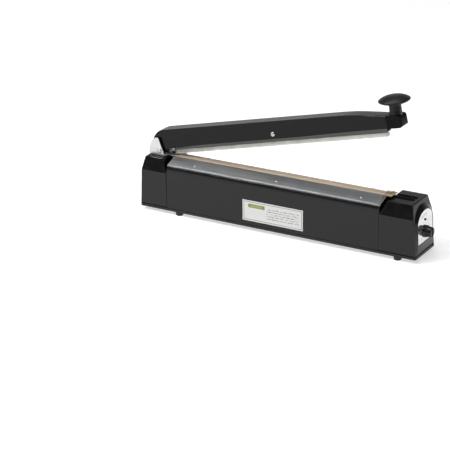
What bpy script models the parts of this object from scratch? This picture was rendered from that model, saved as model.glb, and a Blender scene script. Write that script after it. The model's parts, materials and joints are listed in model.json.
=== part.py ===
"""Hand impulse heat sealer with a hinged press arm, built as separate pieces.

Lengths in the tables below are millimetres. The base is drawn from its left
end (x = 0), centre line (y = 0) and table top (z = 0). The arm is drawn
closed, measured from its hinge axis, and is then raised by ARM_OPEN_DEG.
"""

import math

import bmesh
import bpy
from mathutils import Matrix, Vector

MM = 0.001

# Whole machine
LENGTH = 520.0
OVERALL_MID_X = 267.3
CLEAR = 0.3

# Tray that closes the underside
TRAY_X = (-0.3, 521.8)
TRAY_HALF = 36.3
TRAY_BOTTOM = 6.6
TRAY_FLOOR_TOP = 9.6
TRAY_RIM_TOP = 10.8
TRAY_RIM_WIDTH = 2.6
TRAY_CORNER = 4.0
VENT_COUNT = 7
VENT_PITCH = 9.0
VENT_SIZE = (4.0, 34.0)
VENT_START_X = 354.0

# End castings: each level is z, low x, high x, half depth
LEFT_LEVELS = ((11.1, 0.4, 53.3, 35.5), (73.0, 3.1, 53.3, 34.3), (96.0, 8.7, 43.1, 28.6))
LEFT_HOLLOW = ((5.0, 3.0, 50.6, 32.9), (72.2, 5.8, 50.6, 31.6), (93.2, 11.2, 41.9, 26.3))
RIGHT_LEVELS = ((11.1, 455.0, 521.0, 35.5), (73.0, 455.0, 516.4, 34.3), (96.0, 466.5, 511.2, 28.6))
RIGHT_HOLLOW = ((5.0, 457.7, 518.3, 32.9), (72.2, 457.7, 513.7, 31.6), (89.6, 466.2, 509.9, 27.2))
POST_BOTTOM = 9.9
POST_TOP = 34.0
POST_REACH = 33.1
TRAY_RECESS = (460.0, 505.0, -26.0, 9.6, 93.9)
TRAY_RECESS_RADIUS = 5.0
TRAY_WELL = (460.0, 502.4, -23.6, 3.6, 91.8)
TRAY_WELL_RADIUS = 3.4

# Centre casing of folded sheet
CASING_X = (53.6, 454.7)
CASING_OUTER = ((35.3, 11.1), (33.9, 73.0), (30.9, 84.2), (5.8, 92.5))
CASING_INNER = ((33.8, 11.1), (32.4, 72.8), (29.6, 83.0), (5.3, 91.0))

# Sealing bed
ROOF_SLOPE = 0.36
ROOF_START = (5.8, 95.0)
BED_HALF = 30.0
BED_SHEET = 1.2
BED_UNDER = 92.9
RIDGE_TOP = 97.0
RIDGE_END_FLOOR = 94.4
RIDGE_X = (61.0, 451.8)
TAPE_Z = (97.05, 97.2)
TAPE_HALF = 4.0
ELEMENT_Z = (97.3, 97.48)
ELEMENT_HALF = 1.5
ELEMENT_X = (55.0, 461.0)
CLOTH_TOP = 97.85
CLOTH_THICK = 0.25
CLOTH_HALF = 6.45
CLOTH_FOOT_HALF = 12.0
CLOTH_LIFT = 0.1
CLAMP_LIFT = 0.5
CLAMP_SHEET = 1.2
CLAMP_EDGE = 7.2
CLAMP_CORNER = 30.5
CLAMP_LIP = (31.2, 86.2)
CLAMP_FRONT_X = (54.2, 451.8)
CLAMP_REAR_X = (66.3, 445.6)
CLAMP_SCREW_X = (104.0, 261.5, 418.0)
CLAMP_SCREW_Y = 21.5

# Terminal blocks at the ends of the element
TERMINAL_LEFT = (54.0, 60.7, 66.0)
TERMINAL_RIGHT = (464.3, 452.1, 446.0)
TERMINAL_BASE = 94.7
TERMINAL_PLATFORM = 95.6
TERMINAL_RIDGE = 97.0
TERMINAL_SCREW_Y = 10.8
TERMINAL_SCREW_X = (58.0, 458.2)

# Hinge
PIVOT = (30.0, 0.0, 105.0)
ARM_OPEN_DEG = 12.9
PIN_RADIUS = 2.4
BRACKET_HALF = 17.0
BRACKET_SHEET = 2.0
BRACKET_BASE_Z = (96.3, 98.3)
BRACKET_TONGUE = (38.0, 53.2, 9.0)
BRACKET_SIDE = (
    (8.9, 96.3), (9.3, 103.0), (10.9, 110.5), (14.3, 119.2), (17.4, 123.6), (20.4, 126.0),
    (23.5, 127.0), (27.2, 127.0), (28.9, 125.9), (39.4, 98.6), (40.0, 96.3),
)
BRACKET_INSIDE = (
    (11.0, 98.3), (11.4, 103.0), (12.9, 110.0), (16.1, 118.0), (17.2, 120.2), (13.0, 122.5),
    (0.0, 132.0), (60.0, 140.0), (60.0, 98.3),
)
BRACKET_SCREW_X = (18.5, 33.0)
WASHER_Y = (12.3, 14.7)
SPRING_X = 42.5
SPRING_Z = (98.5, 107.3)
SPRING_RADIUS = 3.2
SPRING_WIRE = 0.5
SPRING_TURNS = 4.5

# Switch
PLUNGER_X = 49.0
PLUNGER_Z = (64.5, 71.5, 102.95)
PLUNGER_RADII = (1.4, 2.3)
SWITCH_BOX = (36.0, 56.0, 3.2, 50.0, 65.5)
SWITCH_BORE = (1.7, 58.0)
SWITCH_WINDOW = (14.0, 18.0, 70.0)

# Arm, measured from the hinge axis with the arm closed
ARM_HALF = 12.0
ARM_SHEET = 1.5
ARM_CHAMFER = 2.6
ARM_OUTLINE = (
    (-11.6, 20.9), (-6.3, 26.7), (-1.2, 30.6), (5.2, 33.3), (12.5, 34.5), (360.0, 34.5),
    (377.0, 34.0), (396.0, 32.5), (440.0, 28.4), (440.0, 7.2), (366.0, 6.6), (280.0, 4.4),
    (90.0, 3.2), (13.0, 0.5), (5.5, -4.4), (0.0, -6.0), (-5.0, -4.6), (-6.8, 0.0),
    (-6.2, 10.0), (-5.6, 19.6),
)
ARM_HOLLOW = (
    (-20.0, 19.6), (-10.0, 19.6), (-5.2, 25.2), (-0.3, 29.0), (5.7, 31.7), (12.8, 33.0),
    (359.8, 33.0), (376.8, 32.5), (450.0, 26.0), (450.0, -20.0), (-20.0, -20.0),
)
NOSE_SIDE = (
    (440.3, 6.6), (455.0, 6.5), (463.4, 6.8), (465.9, 8.4), (466.9, 12.0), (466.7, 19.0),
    (465.9, 23.4), (464.4, 25.5), (461.4, 26.5), (440.3, 28.4),
)
NOSE_END = 466.9
NOSE_CORNER = 3.4
NOSE_SEAT_RADIUS = 11.3
NOSE_SPIGOT = (430.0, 445.0, 10.2, 12.0, 23.0)
BAR_PIN = (229.0, 12.4)
BAR_SAG_DEG = -0.44
BAR_X = (23.0, 436.0)
BAR_SIDE_Y = (5.3, 6.5)
BAR_SIDE_Z = (-2.3, 9.0)
BAR_WEB_Z = (-1.1, 0.3)
STRIP_X = (25.0, 433.5)
STRIP_HALF = 4.9
STRIP_Z = (-9.3, -1.4)
KNOB_X = 453.8
KNOB_SEAT = 25.4
KNOB_LEAN_DEG = 4.4
KNOB_PROFILE = (
    (2.6, 0.3), (10.7, 0.3), (10.4, 2.4), (10.0, 7.0), (9.9, 17.0), (10.5, 18.6), (15.5, 19.4),
    (21.5, 21.1), (25.0, 23.2), (26.0, 24.6), (25.4, 26.0), (21.8, 28.5), (16.5, 30.8),
    (10.5, 32.3), (5.0, 32.9), (0.0, 33.1), (0.0, 14.6), (2.6, 14.6),
)
KNOB_SCREW_PROFILE = ((0.0, -19.0), (4.4, -19.0), (4.4, -16.4), (2.4, -16.4), (2.4, 12.6), (0.0, 12.6))
KNOB_SCREW_WAY = (
    (0.0, -40.0), (4.8, -40.0), (4.8, -16.1), (2.7, -16.1), (2.7, 40.0), (0.0, 40.0),
)
SEAT_PLATE = (7.6, 22.4, 10.1, 0.9, 2.9)
STRIKER_X = 19.0
STRIKER_Z = (-6.2, 6.5)

# Control end
PANEL_X = 521.7
PANEL_LEAN = 0.037
BEZEL_BACK = 508.5
BEZEL_PROUD = 0.4
BEZEL_OUTER = (32.0, 15.0, 64.0, 89.3)
BEZEL_FRONT = (28.1, 27.6, 62.0, 82.0)
BEZEL_POCKET = (27.4, 28.9, 62.0, 81.1)
BEZEL_LEDGE = (25.0, 31.3, 60.0, 78.7)
BEZEL_POCKET_DEEP = 1.4
DIAL_PLATE_FRONT = 0.4
DIAL_PLATE_THICK = 0.8
DIAL_X = 522.0
DIAL_Z = 44.7
LAMP_Z = 64.6
DIAL_KNOB_PROFILE = (
    (3.05, 525.5), (7.4, 525.5), (7.4, 522.3), (9.9, 522.3), (10.2, 522.7), (10.2, 524.0),
    (9.6, 524.5), (8.9, 524.9), (8.3, 532.4), (7.4, 533.8), (0.0, 533.8), (0.0, 531.6),
    (3.05, 531.6),
)
POT_PROFILE = (
    (0.0, 506.0), (8.0, 506.0), (8.2, 506.5), (8.2, 517.7), (4.4, 517.7), (4.4, 524.7),
    (3.1, 524.7), (3.1, 509.1), (0.0, 509.1),
)
POT_NUT = ((5.25, 521.9), (7.0, 521.9), (7.0, 524.1), (5.25, 524.1))
SHAFT_PROFILE = ((0.0, 509.5), (3.0, 509.5), (3.0, 531.2), (0.0, 531.2))
LAMP_PROFILE = (
    (0.0, 509.0), (2.9, 509.0), (2.9, 519.4), (1.9, 519.4), (1.9, 521.4), (1.4, 522.1),
    (0.0, 522.4),
)
POINTER = (0.9, 7.0, 532.4, 534.9)

# Electrics
CORE_BOX = (352.0, 422.0, 20.0, 9.9, 68.0)
CORE_LEG = 11.7
COIL_HALF_Y = 30.0
BOARD = (462.0, 500.0, 22.0, 23.6, 35.0, 72.0)
RELAY = (470.0, 490.0, 6.0, 21.7, 40.0, 56.0)
GLAND_X = 478.0
GLAND_Z = 28.0
GLAND_PROFILE = (
    (3.2, 24.0), (4.9, 24.0), (4.9, 36.1), (8.0, 36.1), (8.0, 37.6), (6.6, 39.0),
    (5.4, 39.7), (3.2, 39.7),
)
NAMEPLATE = (204.0, 318.0, 18.0, 54.0, 0.5)

# Feet
FOOT_SPOTS = ((75.0, 29.2), (487.0, 29.2))
FOOT_PROFILE = (
    (1.8, 3.3), (3.6, 3.3), (3.6, 0.0), (6.0, 0.0), (6.5, 0.6), (6.7, 5.7), (6.3, 6.3),
    (1.8, 6.3),
)
FOOT_SCREW_PROFILE = ((0.0, 1.2), (2.8, 1.2), (3.1, 1.7), (3.1, 3.1), (1.55, 3.1), (1.55, 18.0), (0.0, 18.0))
CORNER_SCREWS = (8.4, 29.0)
CORNER_SCREW_PROFILE = ((0.0, 4.6), (2.4, 4.6), (2.8, 5.1), (2.8, 6.4), (1.4, 6.4), (1.4, 20.0), (0.0, 20.0))

# Finishes: colour, roughness, metallic
BLACK_PAINT = ((0.018, 0.018, 0.02), 0.32, 0.0)
BLACK_PLASTIC = ((0.02, 0.02, 0.021), 0.4, 0.0)
RUBBER = ((0.025, 0.025, 0.025), 0.85, 0.0)
ALUMINIUM = ((0.72, 0.73, 0.74), 0.34, 1.0)
ZINC = ((0.66, 0.66, 0.66), 0.3, 1.0)
STEEL = ((0.6, 0.6, 0.62), 0.3, 1.0)
CHROME = ((0.82, 0.83, 0.85), 0.12, 1.0)
SILICONE = ((0.74, 0.73, 0.7), 0.6, 0.0)
CLOTH = ((0.46, 0.29, 0.15), 0.55, 0.0)
PHENOLIC = ((0.4, 0.2, 0.07), 0.55, 0.0)
GLASS_TAPE = ((0.82, 0.8, 0.72), 0.8, 0.0)
NICHROME = ((0.5, 0.47, 0.44), 0.4, 1.0)
CORE_STEEL = ((0.25, 0.25, 0.27), 0.55, 1.0)
COIL_TAPE = ((0.75, 0.55, 0.12), 0.6, 0.0)
BOARD_GREEN = ((0.03, 0.2, 0.09), 0.5, 0.0)
RELAY_BLUE = ((0.05, 0.12, 0.35), 0.45, 0.0)
DIAL_WHITE = ((0.8, 0.8, 0.79), 0.4, 0.0)
PLATE_SILVER = ((0.62, 0.62, 0.6), 0.45, 0.6)
LAMP_RED = ((0.35, 0.03, 0.02), 0.2, 0.0)

ROUND = 28


def clear_scene():
    """Remove whatever is in the scene."""
    for item in list(bpy.data.objects):
        bpy.data.objects.remove(item, do_unlink=True)


def make_collection(name):
    """Return a new collection linked to the scene."""
    made = bpy.data.collections.new(name)
    bpy.context.scene.collection.children.link(made)
    return made


def make_frame(name, location, parent=None, turn_y_deg=0.0):
    """Return an empty that carries pieces: location in mm within its parent."""
    empty = bpy.data.objects.new(name, None)
    empty.empty_display_size = 0.01
    PARTS.objects.link(empty)
    empty.parent = parent
    empty.location = Vector(location) * MM
    empty.rotation_euler = (0.0, math.radians(turn_y_deg), 0.0)
    return empty


def make_material(name, finish):
    """Return a Principled material named after its piece."""
    colour, roughness, metallic = finish
    material = bpy.data.materials.new(name)
    material.use_nodes = True
    shader = material.node_tree.nodes["Principled BSDF"]
    shader.inputs["Base Color"].default_value = (*colour, 1.0)
    shader.inputs["Roughness"].default_value = roughness
    shader.inputs["Metallic"].default_value = metallic
    material.diffuse_color = (*colour, 1.0)
    return material


def bmesh_to_object(name, shape, frame, finish=None):
    """Turn a bmesh drawn in mm into an object; with no finish it is a cutter."""
    bmesh.ops.recalc_face_normals(shape, faces=shape.faces[:])
    bmesh.ops.scale(shape, vec=(MM, MM, MM), verts=shape.verts[:])
    mesh = bpy.data.meshes.new(name)
    shape.to_mesh(mesh)
    shape.free()
    made = bpy.data.objects.new(name, mesh)
    made.parent = frame
    if finish is None:
        CUTTERS.objects.link(made)
        made.hide_render = True
        made.display_type = "WIRE"
    else:
        PARTS.objects.link(made)
        mesh.materials.append(make_material(name, finish))
        mesh.shade_smooth()
        mesh.set_sharp_from_angle(angle=math.radians(32.0))
    return made


def axis_point(axis, along, first, second):
    """Place an outline point (first, second) at a distance along an axis."""
    if axis == "x":
        return (along, first, second)
    if axis == "y":
        return (first, along, second)
    return (first, second, along)


def prism_shape(axis, outline, low, high):
    """Return a bmesh of an outline pushed along an axis from low to high."""
    shape = bmesh.new()
    near = [shape.verts.new(axis_point(axis, low, a, b)) for a, b in outline]
    far = [shape.verts.new(axis_point(axis, high, a, b)) for a, b in outline]
    shape.faces.new(near)
    shape.faces.new(far)
    count = len(outline)
    for index in range(count):
        after = (index + 1) % count
        shape.faces.new((near[index], near[after], far[after], far[index]))
    return shape


def prism(name, axis, outline, low, high, frame, finish=None):
    """Make an object from an outline pushed along an axis."""
    return bmesh_to_object(name, prism_shape(axis, outline, low, high), frame, finish)


def box(name, x, y, z, frame, finish=None):
    """Make a block from three (low, high) pairs."""
    outline = ((x[0], y[0]), (x[1], y[0]), (x[1], y[1]), (x[0], y[1]))
    return prism(name, "z", outline, z[0], z[1], frame, finish)


def boxes(name, extents, frame):
    """Make one cutter that holds several separate blocks."""
    shape = bmesh.new()
    for x, y, z in extents:
        corners = ((x[0], y[0]), (x[1], y[0]), (x[1], y[1]), (x[0], y[1]))
        low = [shape.verts.new((a, b, z[0])) for a, b in corners]
        high = [shape.verts.new((a, b, z[1])) for a, b in corners]
        shape.faces.new(low)
        shape.faces.new(high)
        for index in range(4):
            after = (index + 1) % 4
            shape.faces.new((low[index], low[after], high[after], high[index]))
    return bmesh_to_object(name, shape, frame)


def loft(name, levels, frame, finish=None):
    """Make a block whose rectangular outline changes from level to level."""
    shape = bmesh.new()
    rings = []
    for z, x_low, x_high, half in levels:
        corners = ((x_low, -half), (x_high, -half), (x_high, half), (x_low, half))
        rings.append([shape.verts.new((a, b, z)) for a, b in corners])
    shape.faces.new(rings[0])
    shape.faces.new(rings[-1])
    for lower, upper in zip(rings, rings[1:]):
        for index in range(4):
            after = (index + 1) % 4
            shape.faces.new((lower[index], lower[after], upper[after], upper[index]))
    return bmesh_to_object(name, shape, frame, finish)


def lathe_shape(profile, sides=ROUND):
    """Return a bmesh of a (radius, height) loop turned about the local Z axis."""
    shape = bmesh.new()
    rings = []
    for radius, height in profile:
        if radius == 0.0:
            rings.append([shape.verts.new((0.0, 0.0, height))])
            continue
        ring = []
        for step in range(sides):
            angle = 2.0 * math.pi * step / sides
            point = (radius * math.cos(angle), radius * math.sin(angle), height)
            ring.append(shape.verts.new(point))
        rings.append(ring)
    for index, ring in enumerate(rings):
        after = rings[(index + 1) % len(rings)]
        if len(ring) == 1 and len(after) == 1:
            continue
        for step in range(sides):
            follow = (step + 1) % sides
            corners = [ring[step % len(ring)], ring[follow % len(ring)]]
            corners += [after[follow % len(after)], after[step % len(after)]]
            distinct = list(dict.fromkeys(corners))
            shape.faces.new(distinct)
    return shape


TURNS = {
    "x": Matrix(((0, 0, 1, 0), (1, 0, 0, 0), (0, 1, 0, 0), (0, 0, 0, 1))),
    "y": Matrix(((0, 1, 0, 0), (0, 0, 1, 0), (1, 0, 0, 0), (0, 0, 0, 1))),
    "z": Matrix.Identity(4),
}


def lathe(name, profile, centre, axis, frame, finish=None, sides=ROUND):
    """Turn a profile about an axis through centre; heights run along the axis."""
    shape = lathe_shape(profile, sides)
    turn = TURNS[axis] if isinstance(axis, str) else axis
    bmesh.ops.transform(shape, matrix=Matrix.Translation(centre) @ turn, verts=shape.verts[:])
    return bmesh_to_object(name, shape, frame, finish)


def rod(name, radius, low, high, centre, axis, frame, sides=ROUND):
    """Make a plain round cutter."""
    profile = ((0.0, low), (radius, low), (radius, high), (0.0, high))
    return lathe(name, profile, centre, axis, frame, None, sides)


def rods(name, radius, low, high, centres, axis, frame, sides=ROUND):
    """Make one cutter that holds several separate round bars."""
    joined = bmesh.new()
    scratch = bpy.data.meshes.new("scratch")
    for centre in centres:
        profile = ((0.0, low), (radius, low), (radius, high), (0.0, high))
        shape = lathe_shape(profile, sides)
        turn = TURNS[axis] if isinstance(axis, str) else axis
        bmesh.ops.transform(shape, matrix=Matrix.Translation(centre) @ turn, verts=shape.verts[:])
        shape.to_mesh(scratch)
        shape.free()
        joined.from_mesh(scratch)
    bpy.data.meshes.remove(scratch)
    return bmesh_to_object(name, joined, frame)


def bevel(piece, width, segments=2, angle_deg=40.0):
    """Round the sharp edges of a piece."""
    modifier = piece.modifiers.new("Edges", "BEVEL")
    modifier.width = width * MM
    modifier.segments = segments
    modifier.limit_method = "ANGLE"
    modifier.angle_limit = math.radians(angle_deg)
    return piece


def combine(piece, other, operation="DIFFERENCE"):
    """Cut a piece with another, or join the other to it."""
    modifier = piece.modifiers.new(other.name, "BOOLEAN")
    modifier.operation = operation
    modifier.solver = "EXACT"
    modifier.object = other
    return piece


def mirrored(points):
    """Return the outline of right-hand points followed by their mirror image."""
    left = [(-a, b) for a, b in reversed(points)]
    return list(points) + left


def arch(half, bottom, spring_line, top, steps=14):
    """Return the outline of an arched window in the (y, z) plane."""
    outline = [(-half, bottom), (half, bottom)]
    for step in range(steps + 1):
        angle = math.pi * step / steps
        outline.append((half * math.cos(angle), spring_line + (top - spring_line) * math.sin(angle)))
    return outline


def rounded_rectangle(x_low, x_high, y_low, y_high, radius, steps=4):
    """Return a rectangle outline with round corners."""
    corners = (
        (x_high - radius, y_high - radius, 0.0),
        (x_low + radius, y_high - radius, 90.0),
        (x_low + radius, y_low + radius, 180.0),
        (x_high - radius, y_low + radius, 270.0),
    )
    outline = []
    for x, y, start in corners:
        for step in range(steps + 1):
            angle = math.radians(start + 90.0 * step / steps)
            outline.append((x + radius * math.cos(angle), y + radius * math.sin(angle)))
    return outline


def build_tray(frame):
    """Underside tray with vent slots and screw holes."""
    start, end = TRAY_X
    outline = rounded_rectangle(start, end, -TRAY_HALF, TRAY_HALF, TRAY_CORNER)
    tray = prism("bottom_tray", "z", outline, TRAY_BOTTOM, TRAY_RIM_TOP, frame, BLACK_PAINT)
    rim = TRAY_RIM_WIDTH
    inside = rounded_rectangle(start + rim, end - rim, rim - TRAY_HALF, TRAY_HALF - rim, 0.8, 2)
    combine(tray, prism("tray_inside", "z", inside, TRAY_FLOOR_TOP, 20.0, frame))
    width, length = VENT_SIZE
    slots = []
    for index in range(VENT_COUNT):
        x = VENT_START_X + index * VENT_PITCH
        slots.append(((x, x + width), (-length / 2, length / 2), (4.0, 14.0)))
    combine(tray, boxes("tray_vents", slots, frame))
    foot_holes = [(x, side * y, 0.0) for x, y in FOOT_SPOTS for side in (-1, 1)]
    combine(tray, rods("tray_foot_holes", 1.75, 4.0, 14.0, foot_holes, "z", frame))
    x, y = CORNER_SCREWS
    corner_holes = [(x, side * y, 0.0) for side in (-1, 1)]
    combine(tray, rods("tray_corner_holes", 1.6, 4.0, 14.0, corner_holes, "z", frame))


def build_feet(frame):
    """Rubber feet, their screws, and the two corner screws of the tray."""
    for x, y in FOOT_SPOTS:
        for side, word in ((-1, "front"), (1, "rear")):
            place = ("left" if x < LENGTH / 2 else "right") + "_" + word
            centre = (x, side * y, 0.0)
            lathe("foot_" + place, FOOT_PROFILE, centre, "z", frame, RUBBER)
            lathe("foot_screw_" + place, FOOT_SCREW_PROFILE, centre, "z", frame, STEEL, 20)
    x, y = CORNER_SCREWS
    for side, word in ((-1, "front"), (1, "rear")):
        lathe("tray_screw_" + word, CORNER_SCREW_PROFILE, (x, side * y, 0.0), "z", frame, STEEL, 20)


def build_left_block(frame):
    """Left end casting that carries the hinge and the switch."""
    block = loft("left_end_block", LEFT_LEVELS, frame, BLACK_PAINT)
    bevel(block, 1.3)
    combine(block, loft("left_hollow", LEFT_HOLLOW, frame))
    x, y = CORNER_SCREWS
    posts = []
    for side in (-1, 1):
        ends = sorted((side * (y - 4.5), side * POST_REACH))
        posts.append(((2.9, x + 4.5), tuple(ends), (POST_BOTTOM, POST_TOP)))
    combine(block, boxes("left_posts", posts, frame), "UNION")
    holes = [(x, side * y, 0.0) for side in (-1, 1)]
    combine(block, rods("left_post_holes", 1.5, 5.0, 21.5, holes, "z", frame))
    half, low, high = SWITCH_WINDOW
    combine(block, box("left_window", (45.0, 60.0), (-half, half), (low, high), frame))
    combine(block, rod("plunger_way", 2.6, 66.0, 110.0, (PLUNGER_X, 0.0, 0.0), "z", frame))
    screws = [(x, 0.0, 0.0) for x in BRACKET_SCREW_X]
    combine(block, rods("bracket_screw_holes", 1.65, 85.0, 110.0, screws, "z", frame))


def build_right_block(frame):
    """Right end casting with the top tray and the control opening."""
    block = loft("right_end_block", RIGHT_LEVELS, frame, BLACK_PAINT)
    bevel(block, 1.3)
    combine(block, loft("right_hollow", RIGHT_HOLLOW, frame))
    foot_x, foot_y = FOOT_SPOTS[1]
    posts = []
    for side in (-1, 1):
        ends = sorted((side * (foot_y - 4.5), side * POST_REACH))
        posts.append(((foot_x - 4.5, foot_x + 4.5), tuple(ends), (POST_BOTTOM, POST_TOP)))
    combine(block, boxes("right_posts", posts, frame), "UNION")
    holes = [(foot_x, side * foot_y, 0.0) for side in (-1, 1)]
    combine(block, rods("right_post_holes", 1.65, 5.0, 19.5, holes, "z", frame))
    x_low, x_high, y_low, y_high, floor = TRAY_RECESS
    recess = rounded_rectangle(x_low, x_high, y_low, y_high, TRAY_RECESS_RADIUS)
    combine(block, prism("top_recess", "z", recess, floor, 120.0, frame))
    x_low, x_high, y_low, y_high, floor = TRAY_WELL
    well = rounded_rectangle(x_low, x_high, y_low, y_high, TRAY_WELL_RADIUS)
    combine(block, prism("top_well", "z", well, floor, 120.0, frame))
    half, bottom, line, top = BEZEL_OUTER
    window = arch(half + CLEAR, bottom - CLEAR, line, top + CLEAR)
    combine(block, prism("control_window", "x", window, 505.0, 530.0, frame))
    combine(block, box("right_window", (450.0, 462.0), (-20.0, 20.0), (18.0, 60.0), frame))
    combine(block, rod("gland_hole", 5.2, 20.0, 45.0, (GLAND_X, 0.0, GLAND_Z), "y", frame))


def roof_z(y):
    """Return the height of the sealing bed's sloping top at a distance out."""
    return ROOF_START[1] - ROOF_SLOPE * (y - ROOF_START[0])


def roof_turn(side):
    """Return the turn whose Z points out of a slope of the sealing bed."""
    length = math.hypot(1.0, ROOF_SLOPE)
    out = Vector((0.0, side * ROOF_SLOPE / length, 1.0 / length))
    across = Vector((1.0, 0.0, 0.0))
    third = out.cross(across)
    return Matrix((across, third, out)).transposed().to_4x4()


def clamp_screw_seats(side):
    """Return the points on a clamp's outer face where its screws sit."""
    height = roof_z(CLAMP_SCREW_Y) + CLAMP_LIFT + CLAMP_SHEET
    return [(x, side * CLAMP_SCREW_Y, height) for x in CLAMP_SCREW_X]


def build_casing(frame):
    """Folded centre casing with the rating plate on its front."""
    shape = prism("base_casing", "x", casing_outline(), *CASING_X, frame, BLACK_PAINT)
    for side, word in ((-1, "front"), (1, "rear")):
        seats = clamp_screw_seats(side)
        cutter = rods("casing_holes_" + word, 1.45, -8.0, 4.0, seats, roof_turn(side), frame, 16)
        combine(shape, cutter)
    x_low, x_high, z_low, z_high, thick = NAMEPLATE
    (y_bottom, z_bottom), (y_crease, z_crease) = CASING_OUTER[:2]
    lean = (y_bottom - y_crease) / (z_crease - z_bottom)
    low = -(y_bottom - lean * (z_low - z_bottom) + 0.2)
    high = -(y_bottom - lean * (z_high - z_bottom) + 0.2)
    plate = ((low, z_low), (low - thick, z_low), (high - thick, z_high), (high, z_high))
    prism("rating_plate", "x", plate, x_low, x_high, frame, PLATE_SILVER)


def casing_outline():
    """Return the casing's section: outer skin out and back along the inner."""
    outer = list(CASING_OUTER) + [(-y, z) for y, z in reversed(CASING_OUTER)]
    inner = [(-y, z) for y, z in CASING_INNER] + [(y, z) for y, z in reversed(CASING_INNER)]
    return outer + inner


def build_bed(frame):
    """Sealing bed, element, insulating tape, cover cloth and cloth clamps."""
    start, top = ROOF_START
    edge = roof_z(BED_HALF)
    section = [
        (start, BED_UNDER), (BED_HALF, edge - BED_SHEET), (BED_HALF, edge), (start, top),
        (start, RIDGE_TOP),
    ]
    bed = prism("sealing_bed", "x", mirrored(section), *CASING_X, frame, ALUMINIUM)
    wide = CLAMP_EDGE + 0.4
    ends = (
        ((40.0, RIDGE_X[0]), (-wide, wide), (RIDGE_END_FLOOR, 110.0)),
        ((RIDGE_X[1], 470.0), (-wide, wide), (RIDGE_END_FLOOR, 110.0)),
    )
    combine(bed, boxes("ridge_ends", ends, frame))
    for side, word in ((-1, "front"), (1, "rear")):
        seats = clamp_screw_seats(side)
        cutter = rods("bed_holes_" + word, 1.45, -6.0, 4.0, seats, roof_turn(side), frame, 16)
        combine(bed, cutter)
    run = (RIDGE_X[0] + 0.2, RIDGE_X[1] - 0.2)
    box("insulating_tape", run, (-TAPE_HALF, TAPE_HALF), TAPE_Z, frame, GLASS_TAPE)
    build_element(frame)
    thick = CLOTH_THICK
    lift = CLOTH_LIFT
    outer = [
        (CLOTH_FOOT_HALF, roof_z(CLOTH_FOOT_HALF) + lift),
        (CLOTH_FOOT_HALF, roof_z(CLOTH_FOOT_HALF) + lift + thick),
        (CLOTH_HALF, roof_z(CLOTH_HALF) + lift + thick),
        (CLOTH_HALF, CLOTH_TOP),
    ]
    inside = CLOTH_HALF - thick
    inner = [(inside, roof_z(inside) + lift), (inside, CLOTH_TOP - thick)]
    section = outer + [(-y, z) for y, z in reversed(outer)]
    section += [(-y, z) for y, z in inner] + [(y, z) for y, z in reversed(inner)]
    prism("ptfe_cloth", "x", section, *run, frame, CLOTH)
    for side, word, run in ((-1, "front", CLAMP_FRONT_X), (1, "rear", CLAMP_REAR_X)):
        build_clamp(side, word, run, frame)


def build_element(frame):
    """Heating ribbon with a tab at each end that drops to its terminal."""
    low, high = ELEMENT_Z
    element = box("heating_element", ELEMENT_X, (-ELEMENT_HALF, ELEMENT_HALF), ELEMENT_Z, frame, NICHROME)
    section = (
        (-ELEMENT_HALF, high), (7.5, high), (7.5, 96.08), (14.0, 96.08), (14.0, 95.9),
        (7.32, 95.9), (7.32, low), (-ELEMENT_HALF, low),
    )
    for x, word in zip(TERMINAL_SCREW_X, ("left", "right")):
        tab = prism("element_tab_" + word, "x", section, x - 3.0, x + 3.0, frame)
        combine(element, tab, "UNION")
    holes = [(x, TERMINAL_SCREW_Y, 0.0) for x in TERMINAL_SCREW_X]
    combine(element, rods("element_holes", 1.6, 95.0, 96.6, holes, "z", frame, 16))


def build_clamp(side, word, run, frame):
    """Folded aluminium strip that clamps the cloth, with its screws."""
    under = CLAMP_LIFT
    over = CLAMP_LIFT + CLAMP_SHEET
    lip_y, lip_z = CLAMP_LIP
    inside = CLAMP_CORNER - 0.1
    section = [
        (CLAMP_EDGE, roof_z(CLAMP_EDGE) + over), (CLAMP_CORNER, roof_z(CLAMP_CORNER) + over),
        (lip_y, lip_z), (lip_y - 0.9, lip_z - 0.2), (inside, roof_z(inside) + under),
        (CLAMP_EDGE, roof_z(CLAMP_EDGE) + under),
    ]
    outline = [(side * y, z) for y, z in section]
    clamp = prism("cloth_clamp_" + word, "x", outline, *run, frame, ALUMINIUM)
    seats = clamp_screw_seats(side)
    turn = roof_turn(side)
    combine(clamp, rods("clamp_holes_" + word, 1.45, -6.0, 4.0, seats, turn, frame, 16))
    profile = ((0.0, -5.0), (1.3, -5.0), (1.3, 0.1), (2.8, 0.1), (2.7, 1.0), (1.9, 1.7), (0.0, 1.9))
    for index, seat in enumerate(seats):
        lathe(f"clamp_screw_{word}_{index + 1}", profile, seat, turn, frame, STEEL, 20)


def build_terminals(frame):
    """Brown insulating blocks at the element's ends, with their screws."""
    for xs, screw_x, word in (
        (TERMINAL_LEFT, TERMINAL_SCREW_X[0], "left"),
        (TERMINAL_RIGHT, TERMINAL_SCREW_X[1], "right"),
    ):
        outer, ridge, platform = xs
        edge = ((ridge, -6.9), (ridge, 8.1), (platform, 8.1), (platform, 16.0), (outer, 16.0))
        name = "terminal_block_" + word
        outline = ((outer, -6.9),) + edge
        block = prism(name, "z", outline, TERMINAL_BASE, TERMINAL_PLATFORM, frame, PHENOLIC)
        across = sorted((outer, ridge))
        step = box("terminal_step_" + word, across, (-6.9, 7.0), (95.0, TERMINAL_RIDGE), frame)
        combine(block, step, "UNION")
        centre = (screw_x, TERMINAL_SCREW_Y, 0.0)
        combine(block, rod("terminal_hole_" + word, 1.5, 90.0, 100.0, centre, "z", frame, 16))
        profile = (
            (0.0, 94.7), (1.35, 94.7), (1.35, 96.2), (2.7, 96.2), (2.6, 97.2), (1.8, 97.9), (0.0, 98.0),
        )
        lathe("terminal_screw_" + word, profile, centre, "z", frame, STEEL, 20)


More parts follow.
